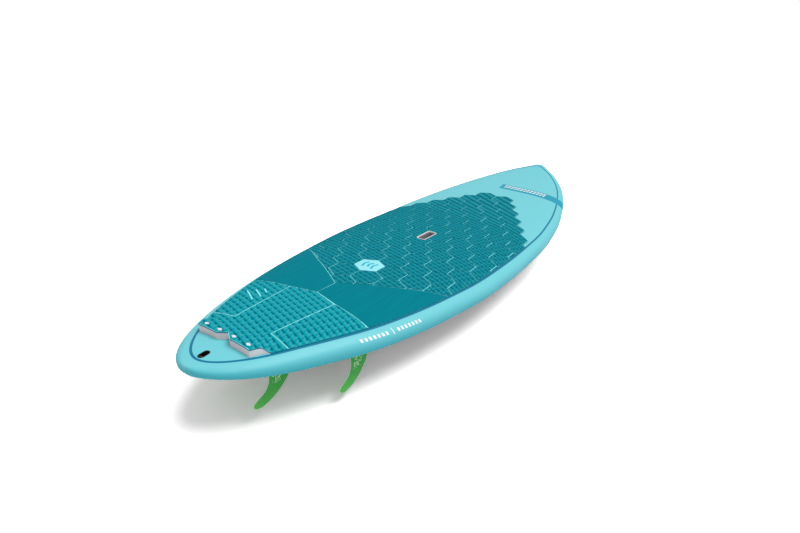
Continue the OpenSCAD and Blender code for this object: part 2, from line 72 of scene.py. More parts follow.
# Board
HALF_L = 1321.0
HALF_W = 406.5
DECK_RISE = 85.0       # of the deck's crown over the rail, amidships
RINGS = 46             # of the CAD's skins, lengthwise
DECK_FULL = 2.95       # exponents of the superellipse of the deck and of the tuck
TUCK_FULL = 2.1
RAIL_SHARE = 0.3       # rail height as a share of the thickness
FLAT = 0.4             # flat share of the bottom's width
END_HALF = 1.2
SKIN = 2.6
TIP_ROUND = 9.0
PIN_INSET = 39.0
PIN_WIDTH = 7.4
# Deck pad
PAD_T = 5.0
BASE_T = 3.2           # height of the base sheet
SEAM_T = 3.8           # its height at the seams of the tail pad
BURIED = 0.3           # how far raised foam reaches into the base sheet
GROOVE = 3.2           # width of the cut seams
TAIL_GROOVE = 4.0
HEX_SIDE = 58.2
HEX_X = -532.0
REAR_X = -1195.0
KICK_H = 20.0
KICK_FRONT = -1093.0
GLUE = 0.1
# Handle
HANDLE_X = -115.0
HANDLE_L = 104.0
HANDLE_W = 36.0
HANDLE_DEPTH = 46.0
POCKET_W = 58.0
WELL_WALL = 4.0
LEDGE = 14.0
VENT_D = 18.2
# Leash cup
LEASH_X, LEASH_L, LEASH_W = -1258.0, 36.2, 21.2
# Nose band and its two rows of blocks, rail blocks and bar: ends along x, y and girth
BAND_X, BAND_END, BAND_SLANT = (788.0, 868.0), 53.0, 0.09
LETTER_ROWS, LETTER_Y = ((842.0, 857.0), (817.0, 829.0)), (-210.0, 40.0)
RAIL_BLOCKS, RAIL_BLOCK_GIRTH = ((-925.0, -820.0), (-790.0, -685.0)), (33.0, 45.0)
RAIL_BAR, RAIL_BAR_GIRTH = (-806.5, -803.5), (28.0, 52.0)
# Fins: x, y, depth, toe, cant
FIN_PLACES = {"front": (-872.0, 218.0, 119.0, 3.0, 6.0), "rear": (-1088.0, 100.0, 118.0, 2.0, 4.0)}
FIN_BASE = 104.0
FIN_T = 6.8
TONGUE = 18.0
# Fin outline: share of the depth, leading and trailing edge in halves of the base
FIN_ROWS = [(0, 1, -0.96), (0.2, 0.95, -0.86), (0.4, 0.81, -0.82), (0.54, 0.6, -0.94),
            (0.63, 0.4, -1.11), (0.69, 0.25, -1.31), (0.74, 0.11, -1.53), (0.79, -0.05, -1.76),
            (0.83, -0.19, -1.87), (0.87, -0.35, -1.91), (0.91, -0.54, -1.89), (0.95, -0.8, -1.81),
            (0.98, -1.05, -1.69), (1, -1.36, -1.5)]
BOX_WALL = 6.0
BOX_INBOARD = 21.0
# Studio: the camera sees floor and world brighter than they light the board
FLOOR_Z, FLOOR_HALF = -0.118, 40.0   # metres
FLOOR_SHADE = 0.93
FLOOR_SEEN = 1.7
WORLD_LIGHT = 0.44
WORLD_SEEN = 1.1
# Grid of the hull's shells
COLUMNS = 72
TUCK_COLUMNS = 16
STATIONS = 260


# ---------------------------------------------------------------- curves and the hull
def curve(xs, ys):
    """Monotone cubic through the points, as a function of arrays."""
    xs, ys = np.array(xs, float), np.array(ys, float)
    h = np.diff(xs)
    d = np.diff(ys) / h
    m = np.empty_like(ys)
    m[0], m[-1] = d[0], d[-1]
    same = d[:-1] * d[1:] > 0
    m[1:-1] = np.where(same, 2 * d[:-1] * d[1:] / np.where(same, d[:-1] + d[1:], 1), 0)

    def value(x):
        x = np.clip(x, xs[0], xs[-1])
        i = np.clip(np.searchsorted(xs, x) - 1, 0, len(h) - 1)
        t = (x - xs[i]) / h[i]
        return (ys[i] * (2 * t**3 - 3 * t**2 + 1) + m[i] * h[i] * (t**3 - 2 * t**2 + t)
                + ys[i + 1] * (3 * t**2 - 2 * t**3) + m[i + 1] * h[i] * (t**3 - t**2))
    return value


def node_points(name):
    o = NODES[name]
    co = np.empty(len(o.data.vertices) * 3, dtype=np.float32)
    o.data.vertices.foreach_get("co", co)
    m = np.array(o.matrix_world)
    return (co.reshape(-1, 3).astype(float) @ m[:3, :3].T + m[:3, 3]) / MM


def arch(s, n):
    """Height of a superellipse of exponent n at the share s of its half width."""
    return np.power(np.maximum(0, 1 - np.power(np.minimum(1, s), n)), 1 / n)


deck_pts, base_pts = node_points("deck_skin"), node_points("bottom_skin")
ring_xs = -HALF_L * np.cos(np.pi * np.arange(RINGS + 1) / RINGS)
ring_w, ring_rail, ring_top, ring_low = [], [], [], []
for rx in ring_xs:
    ring = deck_pts[np.abs(deck_pts[:, 0] - rx) < 0.03]
    w = np.abs(ring[:, 1]).max()
    rail = ring[np.argmax(np.abs(ring[:, 1])), 2]
    best = ring[np.argmax(ring[:, 2])]
    ring_w.append(w)
    ring_rail.append(rail)
    ring_top.append((best[2] - rail) / float(arch(min(0.9, abs(best[1]) / w), DECK_FULL)))
    ring_low.append(rail - base_pts[np.abs(base_pts[:, 0] - rx) < 0.03][:, 2].min())
width_square = curve(ring_xs, np.square(ring_w))
rail_z = curve(ring_xs, ring_rail)
top_h = curve(ring_xs, ring_top)
low_h = curve(ring_xs, ring_low)


def half_w(x):
    return np.sqrt(np.maximum(END_HALF**2, width_square(x)))


def tip(x):
    """Rounds the board's profile at the nose and the tail."""
    d = np.clip((HALF_L - np.abs(x)) / TIP_ROUND, 0, 1)
    return arch(1 - d, 2.4)


def deck_z(x, y):
    return rail_z(x) + top_h(x) * tip(x) * arch(np.abs(y) / half_w(x), DECK_FULL)


def tuck(s):
    return arch(np.maximum(0, (s - FLAT) / (1 - FLAT)), TUCK_FULL)


def bottom_z(x, y):
    return rail_z(x) - low_h(x) * tip(x) * tuck(np.abs(y) / half_w(x))


def pad_half(x):
    """Half width of the deck pad, which runs along the pinline."""
    slope = (half_w(x + 5) - half_w(x - 5)) / 10
    return half_w(x) - (PIN_INSET + 3) * np.sqrt(1 + slope**2)


def ease(t):
    s = np.clip(t, 0, 1)
    return s * s * (3 - 2 * s)


def ramp_front(y):
    """x where the kick's ramp starts, further aft at the corners."""
    return KICK_FRONT - 54 * ease((np.abs(y) - 85) / 50)


def kick(x, y):
    front = ramp_front(y)
    return KICK_H * ease((front - x) / (front - REAR_X - 20))


# ---------------------------------------------------------------- meshes
def add_object(name, verts, faces, materials, body="board", replaces=(), slots=None, sharp=38.0,
               closed=False, fields=None):
    """A piece of the object from points in millimetres, riding on a body."""
    me = bpy.data.meshes.new(name)
    me.from_pydata([tuple(v) for v in np.asarray(verts, float) * MM], [],
                   [tuple(int(i) for i in f) for f in faces])
    me.validate(verbose=False)
    for m in materials:
        me.materials.append(m)
    if slots is not None:
        me.polygons.foreach_set("material_index", np.array(slots, dtype=np.int32))
    if closed:
        bm = bmesh.new()
        bm.from_mesh(me)
        bmesh.ops.recalc_face_normals(bm, faces=bm.faces)
        bm.to_mesh(me)
        bm.free()
    set_fields(me, fields or {})
    o = bpy.data.objects.new(name, me)
    bpy.context.scene.collection.objects.link(o)
    smooth(me, sharp)
    if body:
        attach(o, body)
        if replaces:
            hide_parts(*replaces)
    return o


def set_fields(me, fields):
    for key, values in fields.items():
        layer = me.attributes.new(key, "FLOAT", "POINT")
        layer.data.foreach_set("value", np.asarray(values, dtype=np.float32))


def smooth(me, sharp):
    me.shade_smooth()
    me.set_sharp_from_angle(angle=math.radians(sharp))


class Parts:
    """Collects plates and lofts into one mesh."""

    def __init__(self):
        self.verts, self.faces, self.slots, self.relief = [], [], [], []

    def add(self, verts, faces, slot=0, relief=None):
        first = len(self.verts)
        self.verts.extend(tuple(v) for v in verts)
        self.faces.extend(tuple(int(i) + first for i in f) for f in faces)
        self.slots.extend([slot] * len(faces))
        self.relief.extend([1.0] * len(verts) if relief is None else list(relief))

    def plate(self, outline, top, floor, points=(), holes=(), slot=0, wall=None, step=9.0, lip=0.5,
              relief=None):
        """Sheet over an outline with upright walls. top and floor are height functions."""
        loops = [resample(outline, step)] + [resample(h, step) for h in holes]
        xy = [p for loop in loops for p in loop]
        edges, first = [], 0
        for loop in loops:
            n = len(loop)
            edges += [(first + i, first + (i + 1) % n) for i in range(n)]
            first += n
        pts = np.array(points, float).reshape(-1, 2)
        if len(pts):
            pts = pts[inside(loops[0], pts)]
            for h in loops[1:]:
                pts = pts[~inside(h, pts)]
            for loop in loops:
                if len(pts):
                    pts = pts[distance(loop, pts) > 1.1]
            xy += [tuple(p) for p in pts]
        out = delaunay_2d_cdt([Vector((float(p[0]), float(p[1]))) for p in xy], edges, [], 0, 1e-3)
        v = np.array([(p.x, p.y) for p in out[0]])
        tris = np.array([t for t in out[2] if len(t) == 3])
        mid = v[tris].mean(axis=1)
        keep = inside(loops[0], mid)
        for h in loops[1:]:
            keep &= ~inside(h, mid)
        tris = tris[keep]
        count = {}
        for t in tris:
            for a, b in ((t[0], t[1]), (t[1], t[2]), (t[2], t[0])):
                count[(a, b)] = 1
        rim = [(a, b) for (a, b) in count if (b, a) not in count]
        edge_ids = sorted({i for e in rim for i in e})
        z = top(v[:, 0], v[:, 1])
        z[edge_ids] -= lip
        r = np.ones(len(v)) if relief is None else relief(v[:, 0], v[:, 1])
        self.add(np.column_stack([v, z]), tris, slot, r)
        low = {i: k for k, i in enumerate(edge_ids)}
        base = v[edge_ids]
        verts = np.vstack([np.column_stack([base, z[edge_ids]]),
                           np.column_stack([base, floor(base[:, 0], base[:, 1])])])
        n = len(edge_ids)
        # Walls get the relief value 0.3: painted shade on the sides of the foam
        self.add(verts, [(low[b], low[a], low[a] + n, low[b] + n) for a, b in rim],
                 slot if wall is None else wall, np.full(2 * n, 0.3))

    def loft(self, loops, slot=0, cap_first=False, cap_last=False):
        """Skin through closed loops that have the same number of points."""
        n = len(loops[0])
        faces = []
        for i in range(len(loops) - 1):
            for k in range(n):
                a, b = i * n + k, i * n + (k + 1) % n
                faces.append((a, b, b + n, a + n))
        if cap_first:
            faces.append(tuple(range(n - 1, -1, -1)))
        if cap_last:
            faces.append(tuple((len(loops) - 1) * n + k for k in range(n)))
        self.add([p for loop in loops for p in loop], faces, slot)

    def make(self, name, materials, **more):
        return add_object(name, self.verts, self.faces, materials, slots=self.slots,
                          fields={"relief": self.relief}, **more)


def resample(loop, step):
    """Points along a closed outline, no further apart than step."""
    out = []
    for i, a in enumerate(loop):
        b = loop[(i + 1) % len(loop)]
        n = max(1, int(math.ceil(math.hypot(b[0] - a[0], b[1] - a[1]) / step)))
        out += [(a[0] + (b[0] - a[0]) * k / n, a[1] + (b[1] - a[1]) * k / n) for k in range(n)]
    return out


def inside(loop, pts):
    """Which of the points are inside a closed outline."""
    p = np.asarray(loop, float)
    q = np.roll(p, -1, axis=0)
    x, y = pts[:, 0][:, None], pts[:, 1][:, None]
    crosses = (p[:, 1] > y) != (q[:, 1] > y)
    rise = np.where(q[:, 1] == p[:, 1], 1.0, q[:, 1] - p[:, 1])
    at = p[:, 0] + (y - p[:, 1]) / rise * (q[:, 0] - p[:, 0])
    return (crosses & (x < at)).sum(axis=1) % 2 == 1


def distance(loop, pts):
    p = np.asarray(loop, float)
    return open_distance(np.vstack([p, p[:1]]), pts)


def open_distance(line, pts):
    """Distance of points from a line of points."""
    a, b = line[:-1], line[1:]
    ab = b - a
    size = np.maximum((ab**2).sum(axis=1), 1e-9)
    best = np.full(len(pts), 1e9)
    for i in range(0, len(pts), 4000):
        q = pts[i:i + 4000, None, :]
        t = np.clip(((q - a) * ab).sum(axis=2) / size, 0, 1)
        best[i:i + 4000] = np.linalg.norm(q - a - t[..., None] * ab, axis=2).min(axis=1)
    return best


def area(loop):
    p = np.asarray(loop, float)
    q = np.roll(p, -1, axis=0)
    return 0.5 * float((p[:, 0] * q[:, 1] - q[:, 0] * p[:, 1]).sum())


def clip(subject, window):
    """Part of an outline inside a convex, counter-clockwise window."""
    out = list(subject)
    for i, a in enumerate(window):
        b = window[(i + 1) % len(window)]
        side = [(b[0] - a[0]) * (p[1] - a[1]) - (b[1] - a[1]) * (p[0] - a[0]) for p in out]
        kept = []
        for k, p in enumerate(out):
            q, sp, sq = out[(k + 1) % len(out)], side[k], side[(k + 1) % len(out)]
            if sp >= 0:
                kept.append(p)
            if (sp >= 0) != (sq >= 0):
                t = sp / (sp - sq)
                kept.append((p[0] + (q[0] - p[0]) * t, p[1] + (q[1] - p[1]) * t))
        out = kept
        if len(out) < 3:
            return []
    clean = [p for k, p in enumerate(out) if math.dist(p, out[k - 1]) > 0.05]
    return clean if len(clean) > 2 else []


def inset(loop, d):
    """Outline moved inwards by d, with mitred corners."""
    pts = [p for k, p in enumerate(loop) if math.dist(p, loop[k - 1]) > 1e-6]
    if area(pts) < 0:
        pts = pts[::-1]
    out = []
    for k, p in enumerate(pts):
        a, b = pts[k - 1], pts[(k + 1) % len(pts)]
        u = Vector((p[0] - a[0], p[1] - a[1])).normalized()
        v = Vector((b[0] - p[0], b[1] - p[1])).normalized()
        n1, n2 = Vector((-u.y, u.x)), Vector((-v.y, v.x))
        m = n1 + n2
        m = m / max(0.35, m.dot(n1)) if m.length > 1e-6 else n1
        out.append((p[0] + m.x * d, p[1] + m.y * d))
    return out


# ---------------------------------------------------------------- materials
class Paint:
    """Small helper for building a procedural material."""

    def __init__(self, name, rough=0.5, metal=0.0, coat=0.0, spec=0.5):
        self.m = bpy.data.materials.new(name)
        self.m.use_nodes = True
        self.t = self.m.node_tree
        self.p = self.t.nodes["Principled BSDF"]
        self.p.inputs["Roughness"].default_value = rough
        self.p.inputs["Metallic"].default_value = metal
        self.p.inputs["Coat Weight"].default_value = coat
        self.p.inputs["Specular IOR Level"].default_value = spec
        self.space = self.t.nodes.new("ShaderNodeTexCoord").outputs["Object"]

    def put(self, socket, value):
        if isinstance(value, bpy.types.NodeSocket):
            self.t.links.new(value, socket)
        else:
            socket.default_value = value

    def math(self, op, a, b):
        n = self.t.nodes.new("ShaderNodeMath")
        n.operation = op
        self.put(n.inputs[0], a)
        self.put(n.inputs[1], b)
        return n.outputs[0]

    def both(self, first, *others):
        for value in others:
            first = self.math("MULTIPLY", first, value)
        return first

    def either(self, first, *others):
        for value in others:
            first = self.math("MAXIMUM", first, value)
        return first

    def axis(self, i):
        """Object coordinate in millimetres."""
        n = self.t.nodes.new("ShaderNodeSeparateXYZ")
        self.put(n.inputs[0], self.space)
        return self.math("MULTIPLY", n.outputs[i], 1 / MM)

    def field(self, name):
        n = self.t.nodes.new("ShaderNodeAttribute")
        n.attribute_name = name
        return n.outputs["Fac"]

    def band(self, value, low, high, soft=0.3):
        """1 between low and high, with an edge soft wide."""
        return self.math("SUBTRACT", self.step(value, low, soft), self.step(value, high, soft))

    def blocks(self, value, start, half_pitch, half_gap):
        """Repeating blocks along value, with gaps between them."""
        phase = self.math("PINGPONG", self.math("SUBTRACT", value, start), half_pitch)
        return self.step(phase, half_gap, 0.5)

    def step(self, value, at, soft):
        n = self.t.nodes.new("ShaderNodeMapRange")
        n.interpolation_type = "SMOOTHSTEP"
        self.put(n.inputs["Value"], value)
        self.put(n.inputs["From Min"], at - soft)
        self.put(n.inputs["From Max"], at + soft)
        return n.outputs["Result"]

    def mix(self, factor, a, b):
        n = self.t.nodes.new("ShaderNodeMix")
        n.data_type = "RGBA"
        self.put(n.inputs[0], factor)
        self.put(n.inputs[6], a)
        self.put(n.inputs[7], b)
        return n.outputs[2]

    def noise(self, scale, detail=3.0, stretch=None):
        n = self.t.nodes.new("ShaderNodeTexNoise")
        where = self.space
        if stretch:
            mapping = self.t.nodes.new("ShaderNodeMapping")
            self.put(mapping.inputs["Vector"], where)
            mapping.inputs["Scale"].default_value = stretch
            where = mapping.outputs[0]
        self.put(n.inputs["Vector"], where)
        n.inputs["Scale"].default_value = scale
        n.inputs["Detail"].default_value = detail
        return n.outputs["Fac"]

    def bump(self, height, distance, strength=0.5):
        n = self.t.nodes.new("ShaderNodeBump")
        n.inputs["Strength"].default_value = strength
        n.inputs["Distance"].default_value = distance * MM
        self.put(n.inputs["Height"], height)
        self.t.links.new(n.outputs[0], self.p.inputs["Normal"])

    def colour(self, value):
        self.put(self.p.inputs["Base Color"], value)
        return self.m

    def neutral_bounce(self, shade):
        """Keeps the light that the piece throws on the floor free of its colour."""
        path = self.t.nodes.new("ShaderNodeLightPath")
        return self.mix(path.outputs["Is Diffuse Ray"], shade, (0.4, 0.4, 0.4, 1.0))

    def vary(self, shade, scale, amount):
        """A colour with slight uneven tone."""
        dark = tuple(c * (1 - amount) for c in shade[:3]) + (1,)
        light = tuple(min(1, c * (1 + amount)) for c in shade[:3]) + (1,)
        return self.mix(self.noise(scale, 4.0), dark, light)

    def rough(self, low, high, scale):
        n = self.t.nodes.new("ShaderNodeMapRange")
        self.put(n.inputs["Value"], self.noise(scale, 3.0))
        n.inputs["From Min"].default_value, n.inputs["From Max"].default_value = 0.3, 0.7
        n.inputs["To Min"].default_value, n.inputs["To Max"].default_value = low, high
        self.t.links.new(n.outputs["Result"], self.p.inputs["Roughness"])


def rgb(r, g, b):
    """Linear colour from 8-bit display values."""
    def lin(c):
        c /= 255
        return c / 12.92 if c <= 0.04045 else ((c + 0.055) / 1.055)**2.4
    return (lin(r), lin(g), lin(b), 1.0)


AQUA = rgb(112, 203, 213)
# Painted shade: a darker aqua for the lower rail and the bottom, which face away from the light
RAIL_SHADE_AQUA = rgb(36, 166, 182)
PALE = rgb(128, 238, 245)
PIN = rgb(0, 118, 152)
BAND = rgb(0, 154, 180)
WHITE = rgb(238, 243, 244)


def hull_paint(name, deck):
    s = Paint(name, rough=0.42, coat=0.05, spec=0.22)
    girth, x, y = s.field("girth"), s.axis(0), s.axis(1)
    # Painted shade: the colour darkens from the deck down the rail and is darkest on the whole bottom
    shade = s.mix(s.step(girth, 16.0, 30.0), RAIL_SHADE_AQUA, AQUA)
    if deck:
        pin = s.band(s.field("rim"), PIN_INSET - PIN_WIDTH / 2, PIN_INSET + PIN_WIDTH / 2, 0.5)
        shade = s.mix(pin, shade, PIN)
    slanted = s.math("SUBTRACT", y, s.math("MULTIPLY", s.math("SUBTRACT", x, BAND_X[0]), BAND_SLANT))
    outboard = s.math("SUBTRACT", 1.0, s.step(slanted, BAND_END, 0.6))
    shade = s.mix(s.both(s.band(x, *BAND_X, 0.6), outboard), shade, BAND)
    if deck:
        rows = s.either(*[s.band(x, *row, 0.5) for row in LETTER_ROWS])
        letters = s.both(s.blocks(y, LETTER_Y[0], 9.5, 2.4), s.band(y, *LETTER_Y, 0.5), rows)
        shade = s.mix(letters, shade, WHITE)
        groups = s.either(*[s.band(x, *ends, 0.4) for ends in RAIL_BLOCKS])
        blocks = s.both(s.blocks(x, RAIL_BLOCKS[0][0], 7.5, 3.4),
                        s.band(girth, *RAIL_BLOCK_GIRTH, 0.5), groups)
        bar = s.both(s.band(x, *RAIL_BAR, 0.4), s.band(girth, *RAIL_BAR_GIRTH, 0.5))
        starboard = s.math("LESS_THAN", y, 0.0)
        shade = s.mix(s.both(starboard, s.either(bar, blocks)), shade, WHITE)
    s.rough(0.36, 0.5, 14.0)
    s.bump(s.noise(900.0, 2.0), 0.05, 0.15)
    return s.colour(s.neutral_bounce(shade))


def foam(name, low, middle, high):
    """Foam whose grooves are darker and whose facets are lighter than its ribs: painted shade in the
    grooves and painted highlight on the facets.
    """
    s = Paint(name, rough=0.78, spec=0.03)
    tone = s.field("relief")
    shade = s.mix(s.step(tone, 0.25, 0.25), low, middle)
    shade = s.mix(s.step(tone, 0.75, 0.25), shade, high)
    s.bump(s.noise(700.0, 2.0), 0.25, 0.35)
    return s.colour(shade)


def brushed(name, shade, light):
    """Smooth foam with fine lengthwise brush lines."""
    s = Paint(name, rough=0.7, spec=0.03)
    lines = s.noise(1.0, 4.0, (5.0, 420.0, 20.0))
    n = s.t.nodes.new("ShaderNodeMapRange")
    s.put(n.inputs["Value"], lines)
    n.inputs["From Min"].default_value, n.inputs["From Max"].default_value = 0.35, 0.75
    s.bump(lines, 0.3, 0.4)
    return s.colour(s.mix(n.outputs["Result"], shade, light))


def plain(name, shade, rough=0.5, metal=0.0, amount=0.04, scale=20.0, grain=0.0):
    """One colour with slightly uneven tone and gloss."""
    s = Paint(name, rough=rough, metal=metal)
    s.rough(max(0.03, rough - 0.06), min(1, rough + 0.06), scale * 2)
    if grain:
        s.bump(s.noise(500.0, 2.0), grain, 0.3)
    return s.colour(s.vary(shade, scale, amount))


def wood(name):
    """Wood with its grain along x."""
    s = Paint(name, rough=0.6)
    s.bump(s.noise(3.0, 4.0, (8.0, 300.0, 300.0)), 0.2, 0.3)
    grain = s.noise(2.0, 5.0, (6.0, 200.0, 200.0))
    return s.colour(s.mix(grain, rgb(196, 160, 110), rgb(226, 196, 148)))


def well_paint_with_shade(name):
    """Moulded plastic that is lighter at its rim; the darker grey in the finger pocket is painted shade.
    """
    s = Paint(name, rough=0.45)
    return s.colour(s.mix(s.step(s.axis(2), 122.0, 3.0), rgb(150, 150, 153), rgb(232, 228, 230)))


def beads(name):
    """Expanded bead foam."""
    s = Paint(name, rough=0.9)
    n = s.t.nodes.new("ShaderNodeTexVoronoi")
    s.put(n.inputs["Vector"], s.space)
    n.inputs["Scale"].default_value = 260.0
    s.bump(n.outputs["Distance"], 0.6, 0.4)
    return s.colour(s.vary(rgb(243, 244, 240), 40.0, 0.03))


def fin_green(name):
    """Green composite, lighter to the tip and along its edge, with a swirl near the base."""
    s = Paint(name, rough=0.35, spec=0.15)
    span, rim, along = s.field("span"), s.field("rim"), s.field("chord")
    shade = s.mix(span, rgb(16, 150, 55), rgb(84, 186, 84))
    shade = s.mix(s.math("MULTIPLY", s.noise(30.0, 3.0), 0.12), shade, rgb(10, 120, 50))
    w = s.t.nodes.new("ShaderNodeTexWave")
    w.wave_type = "RINGS"
    s.put(w.inputs["Vector"], s.space)
    w.inputs["Scale"].default_value = 26.0
    w.inputs["Distortion"].default_value = 5.0
    w.inputs["Detail Scale"].default_value = 3.0
    swirl = s.band(w.outputs["Fac"], 0.45, 0.8, 0.1)
    swirl = s.both(swirl, s.band(span, -1.0, 0.52, 0.03), s.band(along, 0.36, 0.86, 0.04), 0.75)
    shade = s.mix(swirl, shade, rgb(205, 240, 200))
    edge = s.math("SUBTRACT", 1.0, s.step(rim, 1.6, 0.5))
    shade = s.mix(s.math("MULTIPLY", edge, 0.55), shade, rgb(215, 240, 205))
    s.bump(s.noise(60.0, 3.0), 0.08, 0.15)
    return s.colour(shade)


M = {
    "deck": hull_paint("deck_laminate", True),
    "bottom": hull_paint("bottom_laminate", False),
    # The first colour of each foam is painted shade for its grooves, the last a painted highlight for its
    # facets
    "pad": foam("textured_foam", rgb(0, 92, 108), rgb(0, 122, 138), rgb(38, 142, 154)),
    "tail": foam("tail_foam", rgb(0, 92, 106), rgb(0, 148, 164), rgb(58, 162, 172)),
    "base": plain("base_foam", PALE, 0.8, amount=0.02, grain=0.2),
    "smooth": brushed("smooth_foam", rgb(0, 118, 133), rgb(0, 130, 145)),
    "emblem": plain("emblem_foam", rgb(146, 226, 235), 0.75, amount=0.02, grain=0.2),
    "motif": plain("motif_foam", rgb(30, 175, 200), 0.7, amount=0.03, grain=0.2),
    "riser": plain("riser_foam", rgb(222, 230, 238), 0.85, amount=0.02, grain=0.3),
    "well": well_paint_with_shade("handle_plastic"),
    "cup": plain("leash_plastic", rgb(14, 14, 15), 0.4, amount=0.1),
    "steel": plain("stainless_steel", rgb(190, 192, 195), 0.28, 1.0, 0.05, 60.0),
    "vent": plain("vent_plastic", rgb(70, 72, 75), 0.5, amount=0.05),
    "brass": plain("vent_metal", rgb(150, 152, 156), 0.3, 1.0, 0.05, 60.0),
    "seal": plain("seal_rubber", rgb(20, 20, 21), 0.65, amount=0.1),
    "membrane": plain("membrane", rgb(240, 240, 238), 0.85, amount=0.02),
    "wood": wood("stringer_wood"),
    "eps": beads("eps_foam"),
    "box": plain("fin_box_plastic", rgb(225, 228, 229), 0.5, amount=0.02),
    "fin": fin_green("fin_composite"),
}


# ---------------------------------------------------------------- hull shells
def section_angles():
    """Angles of a section's points, closer together where the rail turns."""
    a = np.linspace(1e-4, np.pi / 2, 4000)
    y, z = HALF_W * np.cos(a)**(2 / DECK_FULL), DECK_RISE * np.sin(a)**(2 / DECK_FULL)
    dy, dz = np.gradient(y), np.gradient(z)
    turn = np.abs(np.gradient(np.unwrap(np.arctan2(dz, dy))))
    cost = np.cumsum(np.hypot(dy, dz) + 110 * turn)
    want = np.linspace(0, cost[-1], COLUMNS // 2 + 1)
    half = np.interp(want, cost, a)
    half[0], half[-1] = 0.0, np.pi / 2
    return np.concatenate([half, np.pi - half[-2::-1]])


def shell_grid(deck, g):
    """Grid of points of a hull shell, set inwards by g."""
    xs = -HALF_L * np.cos(np.pi * np.arange(STATIONS + 1) / STATIONS)
    w, rail, th, lo = half_w(xs), rail_z(xs), top_h(xs) * tip(xs), low_h(xs) * tip(xs)
    thick = th + lo
    if deck:
        a = section_angles()
        s = np.sign(np.cos(a)) * np.abs(np.cos(a))**(2 / DECK_FULL)
        h = np.sin(a)**(2 / DECK_FULL)
        z = rail[:, None] + th[:, None] * h[None, :]
    else:
        a = np.pi / 2 * (np.arange(TUCK_COLUMNS + 1) / TUCK_COLUMNS)
        side = FLAT + (1 - FLAT) * np.cos(a)**(2 / TUCK_FULL)
        drop = np.sin(a)**(2 / TUCK_FULL)
        flat = np.linspace(FLAT, -FLAT, 11)[1:-1]
        s = np.concatenate([side, flat, -side[::-1]])
        h = np.concatenate([drop, np.ones(len(flat)), drop[::-1]])
        z = rail[:, None] - lo[:, None] * h[None, :]
    y = w[:, None] * s[None, :]
    x = np.repeat(xs[:, None], len(s), axis=1)
    if g:
        part = np.where(thick > 0.5, (z.T - (rail - lo)) / np.maximum(thick, 0.5), RAIL_SHARE).T
        gz = np.minimum(g, 0.2 * thick)[:, None]
        x, y, z = x * (HALF_L - g) / HALF_L, y * (HALF_W - g) / HALF_W, z + gz - 2 * gz * part
    return np.stack([x, y, z], axis=2)


def shell(name, deck, material, node, cutters):
    """Closed skin of the deck or the bottom with the cutters taken out."""
    outer, inner = shell_grid(deck, 0.0), shell_grid(deck, SKIN)
    n, m = outer.shape[0] - 1, outer.shape[1] - 1
    verts = np.vstack([outer.reshape(-1, 3), inner.reshape(-1, 3)])
    size = (n + 1) * (m + 1)

    def at(i, k, o):
        return i * (m + 1) + k + o
    faces = []
    for i in range(n):
        for k in range(m):
            faces.append((at(i, k, 0), at(i, k + 1, 0), at(i + 1, k + 1, 0), at(i + 1, k, 0)))
            faces.append((at(i, k, size), at(i + 1, k, size), at(i + 1, k + 1, size),
                          at(i, k + 1, size)))
    for i in range(n):
        for k in (0, m):
            faces.append((at(i, k, 0), at(i + 1, k, 0), at(i + 1, k, size), at(i, k, size)))
    for k in range(m):
        for i in (0, n):
            faces.append((at(i, k, 0), at(i, k + 1, 0), at(i, k + 1, size), at(i, k, size)))
    o = add_object(name, verts, faces, [material], body=None, closed=True)
    cut(o, cutters)
    me = o.data
    co = np.empty(len(me.vertices) * 3, dtype=np.float32)
    me.vertices.foreach_get("co", co)
    p = co.reshape(-1, 3).astype(float) / MM
    line_x = -HALF_L * np.cos(np.pi * np.arange(701) / 700)
    line = np.column_stack([line_x, half_w(line_x)])
    line = np.vstack([[-HALF_L, 0], line, [HALF_L, 0]])
    rim = open_distance(line, np.column_stack([p[:, 0], np.abs(p[:, 1])]))
    set_fields(me, {"rim": rim, "girth": girth(p)})
    smooth(me, 38.0)
    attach(o, "board")
    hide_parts(node)


def girth(p):
    """Distance round the section from the rail's widest line, measured upwards."""
    a = np.linspace(0, np.pi / 2, 60)
    s, h = np.cos(a)**(2 / DECK_FULL), np.sin(a)**(2 / DECK_FULL)
    w, th = half_w(p[:, 0]), top_h(p[:, 0]) * tip(p[:, 0])
    share = np.clip(np.abs(p[:, 1]) / w, 0, 1)
    y, z = w[:, None] * s[None, :], th[:, None] * h[None, :]
    run = np.concatenate([np.zeros((len(p), 1)),
                          np.cumsum(np.hypot(np.diff(y, axis=1), np.diff(z, axis=1)), axis=1)], axis=1)
    out = np.empty(len(p))
    for i in range(len(p)):
        out[i] = np.interp(-share[i], -s, run[i])
    return np.where(p[:, 2] < rail_z(p[:, 0]) - 0.01, -(rail_z(p[:, 0]) - p[:, 2]), out)


def cut(o, cutters):
    """Takes the cutters out of an object's mesh."""
    for c in cutters:
        mod = o.modifiers.new("hole", "BOOLEAN")
        mod.operation, mod.solver, mod.object = "DIFFERENCE", "EXACT", c
    view = bpy.context.evaluated_depsgraph_get()
    view.update()
    me = bpy.data.meshes.new_from_object(o.evaluated_get(view))
    o.modifiers.clear()
    o.data = me
    for c in cutters:
        bpy.data.objects.remove(c)


def prism(name, loop, low, high, matrix=None):
    """Upright cutter over an outline."""
    n = len(loop)
    verts = [(p[0], p[1], low) for p in loop] + [(p[0], p[1], high) for p in loop]
    if matrix is not None:
        verts = [tuple(matrix @ Vector(v)) for v in verts]
    faces = [tuple(range(n)), tuple(range(2 * n - 1, n - 1, -1))]
    faces += [(k, k + n, (k + 1) % n + n, (k + 1) % n) for k in range(n)]
    return add_object(name, verts, faces, [], body=None, closed=True)


def round_rect(l, w, r, cx=0.0, cy=0.0, n=7):
    out = []
    for qx, qy, start in ((1, 1, 0), (-1, 1, 90), (-1, -1, 180), (1, -1, 270)):
        for k in range(n + 1):
            a = math.radians(start + 90 * k / n)
            out.append((cx + qx * (l / 2 - r) + r * math.cos(a), cy + qy * (w / 2 - r) + r * math.sin(a)))
    return out


